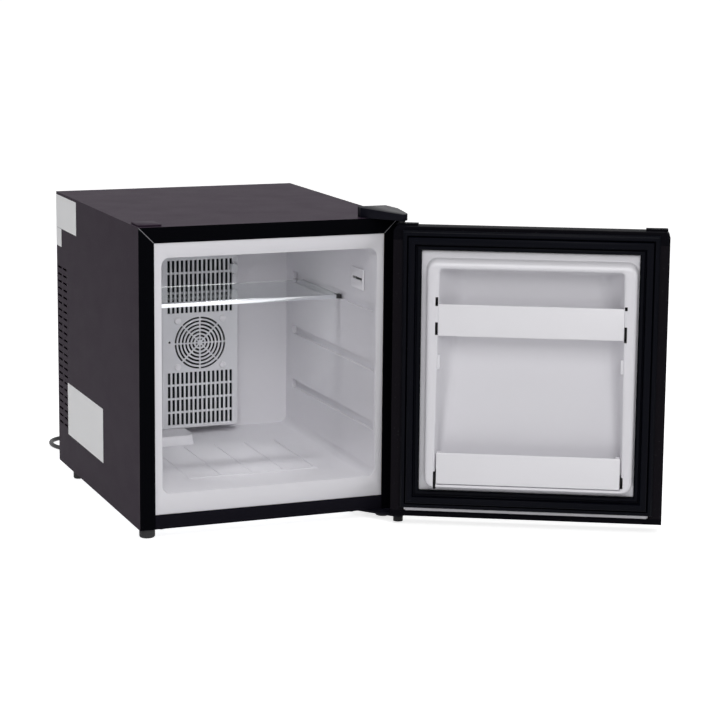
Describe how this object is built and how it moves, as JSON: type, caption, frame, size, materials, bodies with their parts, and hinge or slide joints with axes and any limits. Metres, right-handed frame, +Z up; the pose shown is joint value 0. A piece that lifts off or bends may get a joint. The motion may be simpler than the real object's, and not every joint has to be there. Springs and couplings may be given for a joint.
{
  "type": "portable mini fridge",
  "caption": "Compact cooler cabinet with hinged door, glass shelf, door racks, air duct with fan grille, thermostat dial and rear cooling unit.",
  "frame": {"origin": "centre of the cabinet's footprint on the surface it stands on", "axes": "+Z up, the door's opening faces -Y, +X to the right as seen from the front"},
  "size_m": [0.705, 0.8674, 0.448],
  "materials": {
    "cabinet_steel": "dark charcoal textured paint",
    "plain_steel": "galvanised sheet",
    "hinge_steel": "black painted steel",
    "screw_steel": "zinc plated",
    "foot_rubber": "black rubber",
    "foam": "rigid foam",
    "white_lining": "white moulded plastic, satin",
    "duct_plastic": "white moulded plastic",
    "shelf_glass": "clear toughened glass",
    "shelf_trim_plastic": "bright trim",
    "black_plastic": "black moulded plastic",
    "clear_clip": "translucent clip",
    "probe_metal": "metal probe",
    "cooling_metal": "plain aluminium",
    "module_ceramic": "white ceramic faced module",
    "board": "green circuit board",
    "standoff_brass": "brass stand-offs",
    "board_parts": "dark components",
    "thermostat_plastic": "white moulded plastic",
    "lamp_plastic": "white lamp body",
    "lamp_lens": "frosted lens",
    "panel_plastic": "dark grey moulded plastic",
    "seal": "dark flexible seal",
    "rack_plastic": "white moulded plastic",
    "label_film": "blank white film",
    "cord_plastic": "black cord sheath",
    "pin_brass": "plated pins"
  },
  "bodies": {
    "cabinet": {"outer_shell": "cabinet_steel", "bottom_bar": "cabinet_steel", "base_plate": "plain_steel", "rear_inner_panel": "plain_steel", "rear_cover": "plain_steel", "top_hinge_bracket": "hinge_steel", "bottom_hinge_bracket": "hinge_steel", "bar_screws": "screw_steel", "rear_cover_screws": "screw_steel", "top_hinge_screws": "screw_steel", "bottom_hinge_screws": "screw_steel", "top_hinge_pin": "screw_steel", "bottom_hinge_pin": "screw_steel", "hinge_washer": "screw_steel", "front_feet": "foot_rubber", "rear_feet": "foot_rubber", "insulation_foam": "foam", "inner_liner": "white_lining", "duct_cover": "duct_plastic", "duct_screw_caps": "duct_plastic", "cold_fan_frame": "black_plastic", "hot_fan_frame": "black_plastic", "top_hinge_cover": "black_plastic", "sensor_clip": "clear_clip", "temperature_sensor": "probe_metal", "cold_sink": "cooling_metal", "hot_sink": "cooling_metal", "spacer_block": "cooling_metal", "cooling_module": "module_ceramic", "power_board": "board", "board_standoffs": "standoff_brass", "transformer": "board_parts", "capacitors": "board_parts", "thermostat_plate": "thermostat_plastic", "thermostat_housing": "thermostat_plastic", "lamp_housing": "lamp_plastic", "lamp_lens": "lamp_lens", "hinge_hole_cover": "panel_plastic", "upper_sticker": "label_film", "middle_sticker": "label_film", "lower_sticker": "label_film", "power_cord": "cord_plastic", "cord_coil": "cord_plastic", "cord_gland": "cord_plastic", "plug_body": "cord_plastic", "plug_pins": "pin_brass"},
    "door": {"door_panel": "cabinet_steel", "door_bottom_cap": "panel_plastic", "door_top_cap": "panel_plastic", "door_foam": "foam", "door_liner": "white_lining", "door_gasket": "seal"},
    "shelf": {"glass_shelf": "shelf_glass", "shelf_trim": "shelf_trim_plastic", "shelf_end_caps": "black_plastic"},
    "upper_rack": {"upper_rack": "rack_plastic"},
    "lower_rack": {"lower_rack": "rack_plastic"},
    "dial": {"thermostat_dial": "black_plastic"},
    "cold_rotor": {"cold_fan_rotor": "black_plastic"},
    "hot_rotor": {"hot_fan_rotor": "black_plastic"}
  },
  "joints": [
    {"name": "door_hinge", "type": "hinge", "parent": "cabinet", "child": "door", "pos_m": [0.1803, -0.257, 0.22], "axis": [0, 0, 1], "range_deg": [-152, 13]},
    {"name": "shelf_slide", "type": "slide", "parent": "cabinet", "child": "shelf", "axis": [0, -1, 0], "range_m": [0, 0.125]},
    {"name": "upper_rack_lift", "type": "slide", "parent": "door", "child": "upper_rack", "axis": [0, 0, 1], "range_m": [0, 0.024]},
    {"name": "lower_rack_lift", "type": "slide", "parent": "door", "child": "lower_rack", "axis": [0, 0, 1], "range_m": [0, 0.024]},
    {"name": "thermostat_turn", "type": "hinge", "parent": "cabinet", "child": "dial", "pos_m": [0.16899, -0.156, 0.338], "axis": [0, 0, 1], "range_deg": [-130, 130]},
    {"name": "cold_fan_spin", "type": "hinge", "parent": "cabinet", "child": "cold_rotor", "pos_m": [0, 0.108, 0.208], "axis": [0, 1, 0], "continuous": true},
    {"name": "hot_fan_spin", "type": "hinge", "parent": "cabinet", "child": "hot_rotor", "pos_m": [0, 0.2028, 0.208], "axis": [0, 1, 0], "continuous": true}
  ]
}
